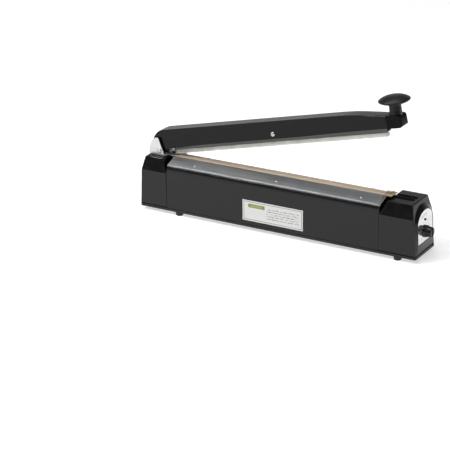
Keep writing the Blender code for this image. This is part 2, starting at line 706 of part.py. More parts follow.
def build_hinge(frame):
    """Hinge bracket, its screws, the pin, its washers and the lift spring."""
    half = BRACKET_HALF
    bracket = prism("hinge_bracket", "y", BRACKET_SIDE, -half, half, frame, ZINC)
    inner = half - BRACKET_SHEET
    combine(bracket, prism("bracket_inside", "y", BRACKET_INSIDE, -inner, inner, frame))
    x_low, x_high, tongue_half = BRACKET_TONGUE
    tongue = box("bracket_tongue", (x_low, x_high), (-tongue_half, tongue_half), BRACKET_BASE_Z, frame)
    combine(bracket, tongue, "UNION")
    combine(bracket, rod("bracket_pin_holes", PIN_RADIUS + 0.06, -30.0, 30.0, PIVOT, "y", frame))
    combine(bracket, rod("tongue_hole", 2.4, 90.0, 110.0, (PLUNGER_X, 0.0, 0.0), "z", frame))
    sink = ((0.0, 90.0), (1.65, 90.0), (1.65, 96.75), (3.3, 98.4), (3.3, 110.0), (0.0, 110.0))
    screw = ((0.0, 86.0), (1.5, 86.0), (1.5, 96.8), (2.9, 98.15), (0.0, 98.2))
    for index, x in enumerate(BRACKET_SCREW_X):
        combine(bracket, lathe(f"bracket_sink_{index + 1}", sink, (x, 0.0, 0.0), "z", frame, None, 20))
        lathe(f"bracket_screw_{index + 1}", screw, (x, 0.0, 0.0), "z", frame, STEEL, 20)
    head = half + 0.2
    pin = (
        (0.0, -head - 1.6), (3.4, -head - 1.6), (4.0, -head - 1.0), (4.0, -head),
        (PIN_RADIUS, -head), (PIN_RADIUS, head), (3.6, head), (3.6, head + 0.8), (2.8, head + 1.4),
        (0.0, head + 1.4),
    )
    lathe("hinge_pin", pin, PIVOT, "y", frame, STEEL)
    near, far = WASHER_Y
    for side, word in ((-1, "front"), (1, "rear")):
        low, high = sorted((side * near, side * far))
        ring = ((2.55, low), (4.6, low), (4.6, high), (2.55, high))
        lathe("hinge_washer_" + word, ring, PIVOT, "y", frame, STEEL, 24)
    build_spring(frame)


def build_spring(frame):
    """Open coil that lifts the arm."""
    curve = bpy.data.curves.new("lift_spring", "CURVE")
    curve.dimensions = "3D"
    curve.bevel_depth = SPRING_WIRE * MM
    curve.bevel_resolution = 2
    curve.use_fill_caps = True
    spline = curve.splines.new("POLY")
    steps = 96
    spline.points.add(steps)
    low, high = SPRING_Z[0] + SPRING_WIRE, SPRING_Z[1] - SPRING_WIRE
    for step in range(steps + 1):
        share = step / steps
        angle = 2.0 * math.pi * SPRING_TURNS * share
        x = SPRING_X + SPRING_RADIUS * math.cos(angle)
        y = SPRING_RADIUS * math.sin(angle)
        z = low + (high - low) * share
        spline.points[step].co = (x * MM, y * MM, z * MM, 1.0)
    spring = bpy.data.objects.new("lift_spring", curve)
    spring.parent = frame
    PARTS.objects.link(spring)
    curve.materials.append(make_material("lift_spring", CHROME))


def build_switch(base, plunger_frame):
    """Micro switch in the left block and the plunger that works it."""
    x_low, x_high, half, z_low, z_high = SWITCH_BOX
    switch = box("micro_switch", (x_low, x_high), (-half, half), (z_low, z_high), base, BLACK_PLASTIC)
    bevel(switch, 0.4, 1)
    radius, floor = SWITCH_BORE
    combine(switch, rod("switch_bore", radius, floor, 80.0, (PLUNGER_X, 0.0, 0.0), "z", base, 20))
    bottom, shoulder, top = (z - PLUNGER_Z[2] for z in PLUNGER_Z)
    thin, thick = PLUNGER_RADII
    profile = (
        (0.0, bottom), (thin, bottom), (thin, shoulder), (thick, shoulder), (thick, top - 1.0),
        (thick - 0.9, top - 0.15), (0.0, top),
    )
    lathe("switch_plunger", profile, (0.0, 0.0, 0.0), "z", plunger_frame, BLACK_PLASTIC, 24)


def end_face_x(z):
    """Return the X of the right end face at a height."""
    (low_z, _, low_x, _), (mid_z, _, mid_x, _), (top_z, _, top_x, _) = RIGHT_LEVELS
    if z < mid_z:
        return low_x + (mid_x - low_x) * (z - low_z) / (mid_z - low_z)
    return mid_x + (top_x - mid_x) * (z - mid_z) / (top_z - mid_z)


def panel_x(z):
    """Return the X of the leaning control panel at a height."""
    return PANEL_X + (DIAL_Z - z) * PANEL_LEAN


def panel_slab(name, outline, back, front, parent, finish=None):
    """Return a slab that leans with the panel: depths are behind its front."""
    shape = bmesh.new()
    rings = []
    for depth in (back, front):
        rings.append([shape.verts.new((panel_x(z) - depth, y, z)) for y, z in outline])
    close_rings(shape, rings)
    return bmesh_to_object(name, shape, parent, finish)


def close_rings(shape, rings):
    """Join rings of points one after another and cap both ends."""
    for ring, after in zip(rings, rings[1:]):
        for index in range(len(ring)):
            follow = (index + 1) % len(ring)
            shape.faces.new((ring[index], ring[follow], after[follow], after[index]))
    shape.faces.new(rings[0])
    shape.faces.new(rings[-1])
    bmesh.ops.recalc_face_normals(shape, faces=shape.faces[:])


def build_bezel(frame):
    """Raised control panel with an arched top and a shallow pocket."""
    outer = arch(*BEZEL_OUTER)
    front = arch(*BEZEL_FRONT)
    places = (
        [(BEZEL_BACK, y, z) for y, z in outer],
        [(end_face_x(z) + BEZEL_PROUD, y, z) for y, z in outer],
        [(panel_x(z), y, z) for y, z in front],
    )
    shape = bmesh.new()
    close_rings(shape, [[shape.verts.new(place) for place in ring] for ring in places])
    bezel = bmesh_to_object("dial_bezel", shape, frame, BLACK_PLASTIC)
    combine(bezel, panel_slab("bezel_pocket", arch(*BEZEL_POCKET), BEZEL_POCKET_DEEP, -20.0, frame))
    combine(bezel, prism("bezel_opening", "x", arch(*BEZEL_LEDGE), 490.0, 540.0, frame))


def build_controls(frame, dial_frame):
    """Dial plate in its panel, lamp, potentiometer and knob."""
    build_bezel(frame)
    half, bottom, line, top = BEZEL_POCKET
    face = arch(half - 0.2, bottom + 0.2, line, top - 0.2)
    back = DIAL_PLATE_FRONT + DIAL_PLATE_THICK
    plate = panel_slab("dial_plate", face, back, DIAL_PLATE_FRONT, frame, DIAL_WHITE)
    combine(plate, rod("dial_hole", 4.6, 500.0, 540.0, (0.0, 0.0, DIAL_Z), "x", frame, 24))
    combine(plate, rod("lamp_hole", 2.05, 500.0, 540.0, (0.0, 0.0, LAMP_Z), "x", frame, 20))
    lathe("indicator_lamp", LAMP_PROFILE, (0.0, 0.0, LAMP_Z), "x", frame, LAMP_RED, 20)
    lathe("potentiometer", POT_PROFILE, (0.0, 0.0, DIAL_Z), "x", frame, STEEL)
    lathe("potentiometer_nut", POT_NUT, (0.0, 0.0, DIAL_Z), "x", frame, STEEL, 6)
    start = DIAL_X
    shaft = [(radius, x - start) for radius, x in SHAFT_PROFILE]
    lathe("potentiometer_shaft", shaft, (0.0, 0.0, 0.0), "x", dial_frame, STEEL)
    knob_profile = [(radius, x - start) for radius, x in DIAL_KNOB_PROFILE]
    knob = lathe("dial_knob", knob_profile, (0.0, 0.0, 0.0), "x", dial_frame, BLACK_PLASTIC, 36)
    half_width, reach, low, high = POINTER
    pointer = box(
        "knob_pointer", (low - start, high - start), (-half_width, half_width), (-reach, reach), dial_frame,
    )
    combine(knob, pointer, "UNION")


def build_electrics(frame):
    """Transformer, timer board, relay and the cord gland."""
    x_low, x_high, half, z_low, z_high = CORE_BOX
    leg = CORE_LEG
    core = box("transformer_core", (x_low, x_high), (-half, half), (z_low, z_high), frame, CORE_STEEL)
    windows = (
        ((x_low + leg, x_low + 2 * leg), (-60.0, 60.0), (z_low + leg, z_high - leg)),
        ((x_high - 2 * leg, x_high - leg), (-60.0, 60.0), (z_low + leg, z_high - leg)),
    )
    combine(core, boxes("core_windows", windows, frame))
    gap = CLEAR
    coil = box(
        "transformer_coil", (x_low + leg + gap, x_high - leg - gap), (-COIL_HALF_Y, COIL_HALF_Y),
        (z_low + leg + gap, z_high - leg - gap), frame, COIL_TAPE,
    )
    bevel(coil, 2.0)
    middle = (x_low + 2 * leg - gap, x_high - 2 * leg + gap)
    combine(coil, box("coil_hole", middle, (-half - gap, half + gap), (0.0, 100.0), frame))
    x_low, x_high, y_low, y_high, z_low, z_high = BOARD
    box("timer_board", (x_low, x_high), (y_low, y_high), (z_low, z_high), frame, BOARD_GREEN)
    x_low, x_high, y_low, y_high, z_low, z_high = RELAY
    relay = box("timer_relay", (x_low, x_high), (y_low, y_high), (z_low, z_high), frame, RELAY_BLUE)
    bevel(relay, 0.6, 1)
    lathe("cord_gland", GLAND_PROFILE, (GLAND_X, 0.0, GLAND_Z), "y", frame, BLACK_PLASTIC)


def build_arm(frame):
    """Press arm: channel, nose, knob, spring seat and bar pin."""
    shape = prism_shape("y", ARM_OUTLINE, -ARM_HALF, ARM_HALF)
    soften_top(shape, 20.0, ARM_CHAMFER)
    arm = bmesh_to_object("arm_channel", shape, frame, BLACK_PAINT)
    inner = ARM_HALF - ARM_SHEET
    hollow = prism_shape("y", ARM_HOLLOW, -inner, inner)
    soften_top(hollow, 18.0, ARM_CHAMFER - 0.7)
    combine(arm, bmesh_to_object("arm_inside", hollow, frame))
    combine(arm, rod("arm_hinge_holes", PIN_RADIUS + 0.08, -30.0, 30.0, (0.0, 0.0, 0.0), "y", frame))
    pin_x, pin_z = BAR_PIN
    combine(arm, rod("arm_bar_holes", 2.5, -30.0, 30.0, (pin_x, 0.0, pin_z), "y", frame, 20))
    head = ARM_HALF + 0.15
    pin = (
        (0.0, -head - 1.8), (2.8, -head - 1.6), (4.0, -head - 0.8), (4.0, -head), (2.4, -head),
        (2.4, head), (4.0, head), (4.0, head + 0.8), (2.8, head + 1.6), (0.0, head + 1.8),
    )
    lathe("bar_pin", pin, (pin_x, 0.0, pin_z), "y", frame, STEEL, 24)
    knob_frame = make_frame("knob_frame", (KNOB_X, 0.0, KNOB_SEAT), frame, KNOB_LEAN_DEG)
    build_nose(frame, knob_frame)
    lathe("press_knob", KNOB_PROFILE, (0.0, 0.0, 0.0), "z", knob_frame, BLACK_PLASTIC, 40)
    lathe("knob_screw", KNOB_SCREW_PROFILE, (0.0, 0.0, 0.0), "z", knob_frame, STEEL, 20)
    x_low, x_high, half, z_low, z_high = SEAT_PLATE
    seat = box("spring_seat", (x_low, x_high), (-half, half), (z_low, z_high), frame, STEEL)
    low, high = STRIKER_Z
    profile = ((0.0, low), (1.6, low), (2.2, low + 0.7), (2.2, high), (0.0, high))
    striker = lathe("striker_peg", profile, (STRIKER_X, 0.0, 0.0), "z", frame, None, 20)
    combine(seat, striker, "UNION")


def soften_top(shape, above, width):
    """Round the long upper edges of an arm prism."""
    chosen = []
    for edge in shape.edges:
        first, second = (vert.co for vert in edge.verts)
        same_side = abs(first.y - second.y) < 0.01
        if same_side and first.z > above and second.z > above:
            chosen.append(edge)
    bmesh.ops.bevel(shape, geom=chosen, offset=width, segments=3, profile=0.5, affect="EDGES")


def build_nose(frame, knob_frame):
    """Moulded nose that plugs the arm's free end and carries the knob."""
    nose = prism("arm_nose", "y", NOSE_SIDE, -ARM_HALF, ARM_HALF, frame, BLACK_PLASTIC)
    start = NOSE_SIDE[0][0]
    plan = rounded_rectangle(start - 40.0, NOSE_END, -ARM_HALF, ARM_HALF, NOSE_CORNER, 6)
    combine(nose, prism("nose_plan", "z", plan, -10.0, 60.0, frame), "INTERSECT")
    bevel(nose, 1.1, 2, 50.0)
    x_low, x_high, half, z_low, z_high = NOSE_SPIGOT
    spigot = box("nose_spigot", (x_low, x_high), (-half, half), (z_low, z_high), frame)
    combine(nose, spigot, "UNION")
    centre = (0.0, 0.0, 0.0)
    combine(nose, lathe("nose_screw_way", KNOB_SCREW_WAY, centre, "z", knob_frame, None, 24))
    combine(nose, rod("nose_knob_seat", NOSE_SEAT_RADIUS, 0.0, 40.0, centre, "z", knob_frame, 40))


def build_bar(frame):
    """Pressure bar and its silicone strip, drawn from the bar pin."""
    pin_x, pin_z = BAR_PIN
    inner, outer = BAR_SIDE_Y
    low, high = BAR_SIDE_Z
    web_low, web_high = BAR_WEB_Z
    right = [(outer, low), (outer, high), (inner, high), (inner, web_high)]
    section = right + [(-y, z) for y, z in reversed(right)]
    section += [(-inner, low), (-inner, web_low), (inner, web_low), (inner, low)]
    section = [(y, z - pin_z) for y, z in section]
    bar = prism("pressure_bar", "x", section, BAR_X[0] - pin_x, BAR_X[1] - pin_x, frame, ALUMINIUM)
    for side, word in ((-1, "front"), (1, "rear")):
        ear = ((-9.0, high - pin_z - 2.0), (9.0, high - pin_z - 2.0), (6.0, 4.2), (-6.0, 4.2))
        ends = sorted((side * inner, side * outer))
        lug = prism("bar_ear_" + word, "y", ear, ends[0], ends[1], frame)
        combine(bar, lug, "UNION")
    combine(bar, rod("bar_pin_holes", 2.5, -20.0, 20.0, (0.0, 0.0, 0.0), "y", frame, 20))
    run = (STRIP_X[0] - pin_x, STRIP_X[1] - pin_x)
    depth = (STRIP_Z[0] - pin_z, STRIP_Z[1] - pin_z)
    strip = box("silicone_strip", run, (-STRIP_HALF, STRIP_HALF), depth, frame, SILICONE)
    bevel(strip, 0.5, 2)


def main():
    """Build the whole sealer with its arm raised."""
    base = make_frame("base_frame", (-OVERALL_MID_X, 0.0, 0.0))
    arm = make_frame("arm_frame", PIVOT, base, -ARM_OPEN_DEG)
    pin_x, pin_z = BAR_PIN
    bar = make_frame("bar_frame", (pin_x, 0.0, pin_z), arm, BAR_SAG_DEG)
    dial = make_frame("dial_frame", (DIAL_X, 0.0, DIAL_Z), base)
    plunger = make_frame("plunger_frame", (PLUNGER_X, 0.0, PLUNGER_Z[2]), base)
    build_tray(base)
    build_feet(base)
    build_left_block(base)
    build_right_block(base)
    build_casing(base)
    build_bed(base)
    build_terminals(base)
    build_hinge(base)
    build_switch(base, plunger)
    build_controls(base, dial)
    build_electrics(base)
    build_arm(arm)
    build_bar(bar)
    bpy.context.view_layer.update()


clear_scene()
PARTS = make_collection("sealer")
CUTTERS = make_collection("cutters")
main()
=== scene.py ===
import math

import bmesh
import bpy
from mathutils import Matrix, Vector
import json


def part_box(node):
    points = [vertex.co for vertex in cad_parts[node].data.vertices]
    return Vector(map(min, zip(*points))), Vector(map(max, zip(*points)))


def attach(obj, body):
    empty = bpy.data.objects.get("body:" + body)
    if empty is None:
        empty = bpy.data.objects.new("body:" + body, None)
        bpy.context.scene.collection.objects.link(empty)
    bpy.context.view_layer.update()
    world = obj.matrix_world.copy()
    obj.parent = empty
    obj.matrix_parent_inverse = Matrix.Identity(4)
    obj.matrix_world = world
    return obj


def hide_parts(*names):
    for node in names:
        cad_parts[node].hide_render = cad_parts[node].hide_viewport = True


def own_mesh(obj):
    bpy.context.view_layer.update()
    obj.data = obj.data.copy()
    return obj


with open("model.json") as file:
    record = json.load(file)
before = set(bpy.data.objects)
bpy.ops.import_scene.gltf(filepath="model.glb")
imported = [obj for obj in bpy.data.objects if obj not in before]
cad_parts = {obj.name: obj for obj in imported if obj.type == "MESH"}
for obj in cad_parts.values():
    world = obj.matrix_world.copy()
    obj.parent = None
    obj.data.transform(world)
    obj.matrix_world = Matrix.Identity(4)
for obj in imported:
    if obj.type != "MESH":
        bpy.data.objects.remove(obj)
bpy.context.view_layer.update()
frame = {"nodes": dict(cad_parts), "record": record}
NODES = frame["nodes"]
MM = 0.001

# The tray starts 0.3 mm left of the X that every station is measured from
LEFT_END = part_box("bottom_tray")[0].x + 0.3 * MM
ARM_OPEN = math.radians(12.9)
PIVOT = Vector((LEFT_END + 0.030, 0.0, 0.105))


def station(x, y, z):
    """Point in the row frame from mm measured off the base's left end."""
    return Vector((LEFT_END + x * MM, y * MM, z * MM))


def arm_matrix():
    """Place of the arm's own axes, raised, in the row frame."""
    return Matrix.Translation(PIVOT) @ Matrix.Rotation(-ARM_OPEN, 4, "Y")


# ---------------------------------------------------------------- materials

class Graph:
    """Builds one procedural material."""

    def __init__(self, name):
        self.material = bpy.data.materials.new(name)
        self.material.use_nodes = True
        self.tree = self.material.node_tree
        self.shader = self.tree.nodes["Principled BSDF"]
        self.coord = self.add("ShaderNodeTexCoord").outputs["Object"]

    def add(self, kind, **settings):
        node = self.tree.nodes.new(kind)
        for key, value in settings.items():
            setattr(node, key, value)
        return node

    def link(self, source, target):
        self.tree.links.new(source, target)

    def feed(self, socket, value):
        if hasattr(value, "links"):
            self.link(value, socket)
        else:
            socket.default_value = value

    def stretch(self, scale):
        node = self.add("ShaderNodeMapping")
        node.inputs["Scale"].default_value = scale
        self.link(self.coord, node.inputs["Vector"])
        return node.outputs["Vector"]

    def noise(self, scale, detail=3.0, rough=0.5, vector=None):
        node = self.add("ShaderNodeTexNoise")
        node.inputs["Scale"].default_value = scale
        node.inputs["Detail"].default_value = detail
        node.inputs["Roughness"].default_value = rough
        self.link(vector or self.coord, node.inputs["Vector"])
        return node.outputs["Fac"]

    def bands(self, pitch, axis):
        """Bands of light and dark along an axis, one pair every two pitches."""
        node = self.add("ShaderNodeTexWave", wave_type="BANDS", bands_direction=axis)
        node.inputs["Scale"].default_value = math.pi / pitch / 10.0
        self.link(self.coord, node.inputs["Vector"])
        return node.outputs["Fac"]

    def spread(self, value, low, high, to_low=0.0, to_high=1.0):
        node = self.add("ShaderNodeMapRange")
        self.feed(node.inputs["Value"], value)
        node.inputs["From Min"].default_value = low
        node.inputs["From Max"].default_value = high
        node.inputs["To Min"].default_value = to_low
        node.inputs["To Max"].default_value = to_high
        return node.outputs["Result"]

    def math(self, operation, first, second=0.0):
        node = self.add("ShaderNodeMath", operation=operation)
        self.feed(node.inputs[0], first)
        self.feed(node.inputs[1], second)
        return node.outputs[0]

    def mix(self, factor, first, second):
        node = self.add("ShaderNodeMix", data_type="RGBA")
        self.feed(node.inputs["Factor"], factor)
        self.feed(node.inputs["A"], first)
        self.feed(node.inputs["B"], second)
        return node.outputs["Result"]

    def axes(self):
        node = self.add("ShaderNodeSeparateXYZ")
        self.link(self.coord, node.inputs[0])
        return node.outputs

    def edges(self, radius, share):
        """Mask of the corners, where a rounded normal parts from the true one, in patches: rubbed
        wear on most finishes, a painted highlight on enamel.
        """
        soft = self.add("ShaderNodeBevel", samples=6)
        soft.inputs["Radius"].default_value = radius
        plain = self.add("ShaderNodeNewGeometry")
        dot = self.add("ShaderNodeVectorMath", operation="DOT_PRODUCT")
        self.link(soft.outputs["Normal"], dot.inputs[0])
        self.link(plain.outputs["Normal"], dot.inputs[1])
        corner = self.spread(dot.outputs["Value"], 0.995, 0.9)
        wear_and_highlight_patches = self.spread(self.noise(240.0, 4.0, 0.7), 0.42, 0.62)
        return self.math("MULTIPLY", self.math("MULTIPLY", corner, wear_and_highlight_patches), share)

    def bump(self, height, distance):
        node = self.add("ShaderNodeBump")
        node.inputs["Strength"].default_value = 1.0
        node.inputs["Distance"].default_value = distance
        self.link(height, node.inputs["Height"])
        return node.outputs["Normal"]

    def finish(self, colour, roughness, metallic=0.0, normal=None, **plain):
        self.feed(self.shader.inputs["Base Color"], colour)
        self.feed(self.shader.inputs["Roughness"], roughness)
        self.shader.inputs["Metallic"].default_value = metallic
        if normal is not None:
            self.link(normal, self.shader.inputs["Normal"])
        for key, value in plain.items():
            self.shader.inputs[key.replace("_", " ")].default_value = value
        return self.material


def rgb(red, green, blue):
    return (red, green, blue, 1.0)


def tint(colour, gain, lift=0.0):
    """Colour multiplied by a gain and raised by a lift."""
    return tuple(min(1.0, part * gain + lift) for part in colour[:3]) + (1.0,)


def enamel(name, colour, rough_low, rough_high, peel=0.00002, specular=0.34):
    """Stove enamel: faint orange peel, cloudy gloss, a little dust and a painted highlight along
    its edges.
    """
    g = Graph(name)
    cloud = g.noise(38.0, 4.0, 0.6)
    fine = g.noise(900.0, 2.0, 0.5)
    scuff = g.spread(g.noise(160.0, 6.0, 0.75, g.stretch((1.0, 3.0, 3.0))), 0.62, 0.78)
    shade = g.mix(g.math("MULTIPLY", scuff, 0.3), colour, tint(colour, 1.9, 0.006))
    # Painted highlight: the corners are lightened to stand for the thin bright lines of light
    # along the rims
    shade = g.mix(g.edges(0.0006, 0.5), shade, rgb(0.18, 0.18, 0.185))
    gloss = g.spread(cloud, 0.3, 0.7, rough_low, rough_high)
    rough = g.math("ADD", gloss, g.math("MULTIPLY", scuff, 0.12))
    ripple = g.math("ADD", g.noise(420.0, 2.0, 0.45), g.math("MULTIPLY", fine, 0.3))
    return g.finish(shade, rough, 0.0, g.bump(ripple, peel), Specular_IOR_Level=specular)


def moulded(name, colour, rough_low, rough_high, grain=0.00003, scale=1500.0, specular=0.5):
    """Moulded plastic or rubber with a fine grain."""
    g = Graph(name)
    cloud = g.noise(55.0, 3.0, 0.55)
    grainy = g.noise(scale, 2.0, 0.6)
    shade = g.mix(g.spread(cloud, 0.35, 0.75, 0.0, 0.55), colour, tint(colour, 1.7, 0.008))
    rubbed = g.edges(0.0004, 0.5)
    shade = g.mix(rubbed, shade, tint(colour, 1.5, 0.03))
    uneven = g.math("ADD", g.math("MULTIPLY", cloud, 0.7), g.math("MULTIPLY", grainy, 0.3))
    rough = g.spread(uneven, 0.3, 0.7, rough_low, rough_high)
    rough = g.math("SUBTRACT", rough, g.math("MULTIPLY", rubbed, 0.1))
    normal = g.bump(grainy, grain)
    return g.finish(shade, rough, 0.0, normal, Specular_IOR_Level=specular)


STREAKS = (6.0, 900.0, 900.0)


def brushed(name, colour, rough_low, rough_high, stretch=STREAKS, metallic=1.0, depth=0.000012):
    """Drawn or brushed metal with streaks along one direction."""
    g = Graph(name)
    streak = g.noise(1.0, 4.0, 0.65, g.stretch(stretch))
    stain = g.noise(30.0, 4.0, 0.6)
    uneven = g.math("ADD", g.math("MULTIPLY", streak, 0.5), g.math("MULTIPLY", stain, 0.5))
    shade = g.mix(g.spread(uneven, 0.35, 0.65), tint(colour, 0.8), colour)
    rubbed = g.edges(0.0004, 0.6)
    shade = g.mix(rubbed, shade, tint(colour, 1.15, 0.04))
    rough = g.spread(streak, 0.3, 0.7, rough_low, rough_high)
    rough = g.math("SUBTRACT", rough, g.math("MULTIPLY", rubbed, 0.1))
    return g.finish(shade, rough, metallic, g.bump(streak, depth))


def plated(name, colour, rough_low, rough_high):
    """Zinc or nickel plate with a faint crystalline mottle."""
    g = Graph(name)
    cell = g.add("ShaderNodeTexVoronoi")
    cell.inputs["Scale"].default_value = 260.0
    g.link(g.coord, cell.inputs["Vector"])
    mottle = g.spread(cell.outputs["Distance"], 0.0, 0.8)
    cloud = g.noise(70.0, 4.0, 0.6)
    uneven = g.math("ADD", g.math("MULTIPLY", mottle, 0.4), g.math("MULTIPLY", cloud, 0.6))
    shade = g.mix(uneven, tint(colour, 0.82), colour)
    rubbed = g.edges(0.0003, 0.6)
    shade = g.mix(rubbed, shade, tint(colour, 1.15, 0.04))
    rough = g.spread(cloud, 0.3, 0.7, rough_low, rough_high)
    rough = g.math("SUBTRACT", rough, g.math("MULTIPLY", rubbed, 0.08))
    return g.finish(shade, rough, 1.0, g.bump(g.noise(600.0, 2.0, 0.5), 0.000008))


def woven(name, colour, dark, pitch):
    """Coated glass cloth: a fine square weave, with heat stains."""
    g = Graph(name)
    across = g.bands(pitch, "X")
    along = g.bands(pitch, "Y")
    weave = g.math("MULTIPLY", across, along)
    stain = g.spread(g.noise(60.0, 5.0, 0.65, g.stretch((0.35, 1.0, 1.0))), 0.35, 0.7)
    uneven = g.math("ADD", g.math("MULTIPLY", stain, 0.7), g.math("MULTIPLY", weave, 0.3))
    rough = g.spread(weave, 0.0, 1.0, 0.58, 0.42)
    return g.finish(g.mix(uneven, dark, colour), rough, 0.0, g.bump(weave, 0.00004))


# Maker, name, colour, lowest and highest roughness, and anything else it is given.
# A woven finish has its darker colour and its pitch in place of the roughness.
FINISHES = (
    (enamel, "black_paint", rgb(0.0042, 0.0042, 0.0046), 0.14, 0.26, {}),
    (enamel, "arm_paint", rgb(0.0032, 0.0032, 0.0036), 0.14, 0.26, {"specular": 0.2}),
    (moulded, "nose_plastic", rgb(0.0034, 0.0034, 0.0036), 0.16, 0.26, {"specular": 0.06}),
    (moulded, "black_plastic", rgb(0.0048, 0.0048, 0.005), 0.22, 0.34, {"specular": 0.34}),
    (moulded, "knob_plastic", rgb(0.0085, 0.0085, 0.008), 0.34, 0.48, {"specular": 0.26}),
    (moulded, "rubber", rgb(0.012, 0.012, 0.012), 0.6, 0.85, {"grain": 0.00006}),
    (brushed, "aluminium", rgb(0.34, 0.35, 0.36), 0.28, 0.42, {"metallic": 0.85}),
    (brushed, "bar_aluminium", rgb(0.1, 0.098, 0.092), 0.32, 0.46, {}),
    (plated, "zinc", rgb(0.68, 0.68, 0.67), 0.3, 0.44, {}),
    (plated, "steel", rgb(0.5, 0.5, 0.5), 0.22, 0.36, {}),
    (plated, "chrome", rgb(0.75, 0.76, 0.78), 0.08, 0.18, {}),
    (moulded, "silicone", rgb(0.53, 0.52, 0.49), 0.45, 0.62, {"grain": 0.00002, "scale": 700.0}),
    (woven, "cloth", rgb(0.54, 0.44, 0.34), rgb(0.4, 0.31, 0.22), 0.0006, {}),
    (brushed, "phenolic", rgb(0.56, 0.38, 0.22), 0.45, 0.6,
     {"stretch": (25.0, 500.0, 900.0), "metallic": 0.0}),
    (woven, "glass_tape", rgb(0.7, 0.68, 0.6), rgb(0.52, 0.48, 0.4), 0.0008, {}),
    (brushed, "nichrome", rgb(0.4, 0.37, 0.34), 0.3, 0.45, {}),
    (brushed, "core_steel", rgb(0.16, 0.16, 0.17), 0.45, 0.6,
     {"stretch": (8.0, 1600.0, 8.0), "metallic": 0.8}),
    (moulded, "coil_tape", rgb(0.7, 0.5, 0.1), 0.4, 0.6, {}),
    (moulded, "board", rgb(0.03, 0.17, 0.08), 0.35, 0.5, {}),
    (moulded, "relay_blue", rgb(0.04, 0.1, 0.3), 0.35, 0.5, {}),
    (moulded, "lamp", rgb(0.03, 0.006, 0.005), 0.12, 0.2, {"grain": 0.000005}),
    (brushed, "dial_white", rgb(0.86, 0.86, 0.86), 0.05, 0.11,
     {"stretch": (40.0, 300.0, 900.0), "metallic": 0.92, "depth": 0.000002}),
    (moulded, "print_red", rgb(0.5, 0.2, 0.18), 0.4, 0.5, {"grain": 0.00001}),
    (moulded, "print_grey", rgb(0.16, 0.16, 0.17), 0.4, 0.5, {"grain": 0.00001}),
)


def plate_print():
    """Silver rating plate: brushed ground, thin frame line, olive panel and grey rules."""
    g = Graph("plate_silver")
    low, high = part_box("rating_plate")
    x, _, z = g.axes()
    across = g.spread(x, low.x, high.x)
    up = g.spread(z, low.z, high.z)

    def inside(value, start, end):
        first = g.math("GREATER_THAN", value, start)
        second = g.math("LESS_THAN", value, end)
        return g.math("MULTIPLY", first, second)

    def panel(x0, x1, z0, z1):
        return g.math("MULTIPLY", inside(across, x0, x1), inside(up, z0, z1))

    outside, within = panel(0.018, 0.982, 0.055, 0.945), panel(0.026, 0.974, 0.08, 0.92)
    frame_line = g.math("SUBTRACT", outside, within)
    rules = g.math("GREATER_THAN", g.bands(0.0042, "Z"), 0.62)
    rules = g.math("MULTIPLY", rules, panel(0.4, 0.93, 0.2, 0.8))
    broken = g.math("GREATER_THAN", g.noise(220.0, 1.0, 0.5, g.stretch((1.0, 0.0, 3.0))), 0.5)
    rules = g.math("MULTIPLY", rules, broken)
    streak = g.noise(1.0, 4.0, 0.6, g.stretch((8.0, 700.0, 900.0)))
    ground = g.mix(streak, rgb(0.56, 0.56, 0.55), rgb(0.72, 0.72, 0.71))
    shade = g.mix(rules, ground, rgb(0.22, 0.22, 0.22))
    shade = g.mix(frame_line, shade, rgb(0.16, 0.16, 0.16))
    shade = g.mix(panel(0.095, 0.37, 0.66, 0.84), shade, rgb(0.23, 0.25, 0.07))
    shade = g.mix(panel(0.14, 0.32, 0.71, 0.79), shade, rgb(0.33, 0.35, 0.14))
    return g.finish(shade, g.spread(streak, 0.3, 0.7, 0.34, 0.48), 0.55, g.bump(streak, 0.000008))


MATERIALS = {row[1]: row[0](*row[1:5], **row[5]) for row in FINISHES}
MATERIALS["plate_silver"] = plate_print()
SLOT_OF = {s["node"]: s["material_slot"] for s in frame["record"]["subparts"]}

# Pieces whose shallow folds stay crisp, and the rounding in mm of each piece's edges
CREASED = ("left_end_block", "right_end_block", "base_casing")
EDGES = {
    "left_end_block": 0.8, "right_end_block": 0.8, "base_casing": 0.3, "bottom_tray": 0.4,
    "sealing_bed": 0.2, "cloth_clamp_front": 0.25, "cloth_clamp_rear": 0.25, "hinge_bracket": 0.35,
    "arm_channel": 0.45, "arm_nose": 0.5, "pressure_bar": 0.25, "dial_bezel": 0.2,
    "terminal_block_left": 0.2, "terminal_block_right": 0.2, "transformer_core": 0.3,
    "spring_seat": 0.2, "dial_knob": 0.2, "cord_gland": 0.2,
}
# A turn over the first angle is an edge, and one over the second is a fold if it's this long
SHARP_ANGLE = 34.0
FOLD_ANGLE = 5.0
FOLD_LENGTH = 0.03
# Nodes whose finish isn't that of their slot's other pieces
SPECIAL = {
    "pressure_bar": "bar_aluminium", "press_knob": "knob_plastic", "spring_seat": "chrome",
    "arm_channel": "arm_paint", "arm_nose": "nose_plastic",
}


def mark_folds(mesh):
    """Mark long, shallow folds as sharp, so that flat faces are shaded flat."""
    place = [tuple(round(value, 6) for value in vertex.co) for vertex in mesh.vertices]
    sides = {}
    for face in mesh.polygons:
        for start, end in face.edge_keys:
            sides.setdefault(frozenset((place[start], place[end])), []).append(face.normal)
    for edge in mesh.edges:
        start, end = (place[index] for index in edge.vertices)
        normals = sides.get(frozenset((start, end)), ())
        if len(normals) != 2 or math.dist(start, end) < FOLD_LENGTH:
            continue
        if FOLD_ANGLE < math.degrees(normals[0].angle(normals[1], 0.0)) < SHARP_ANGLE:
            edge.use_edge_sharp = True


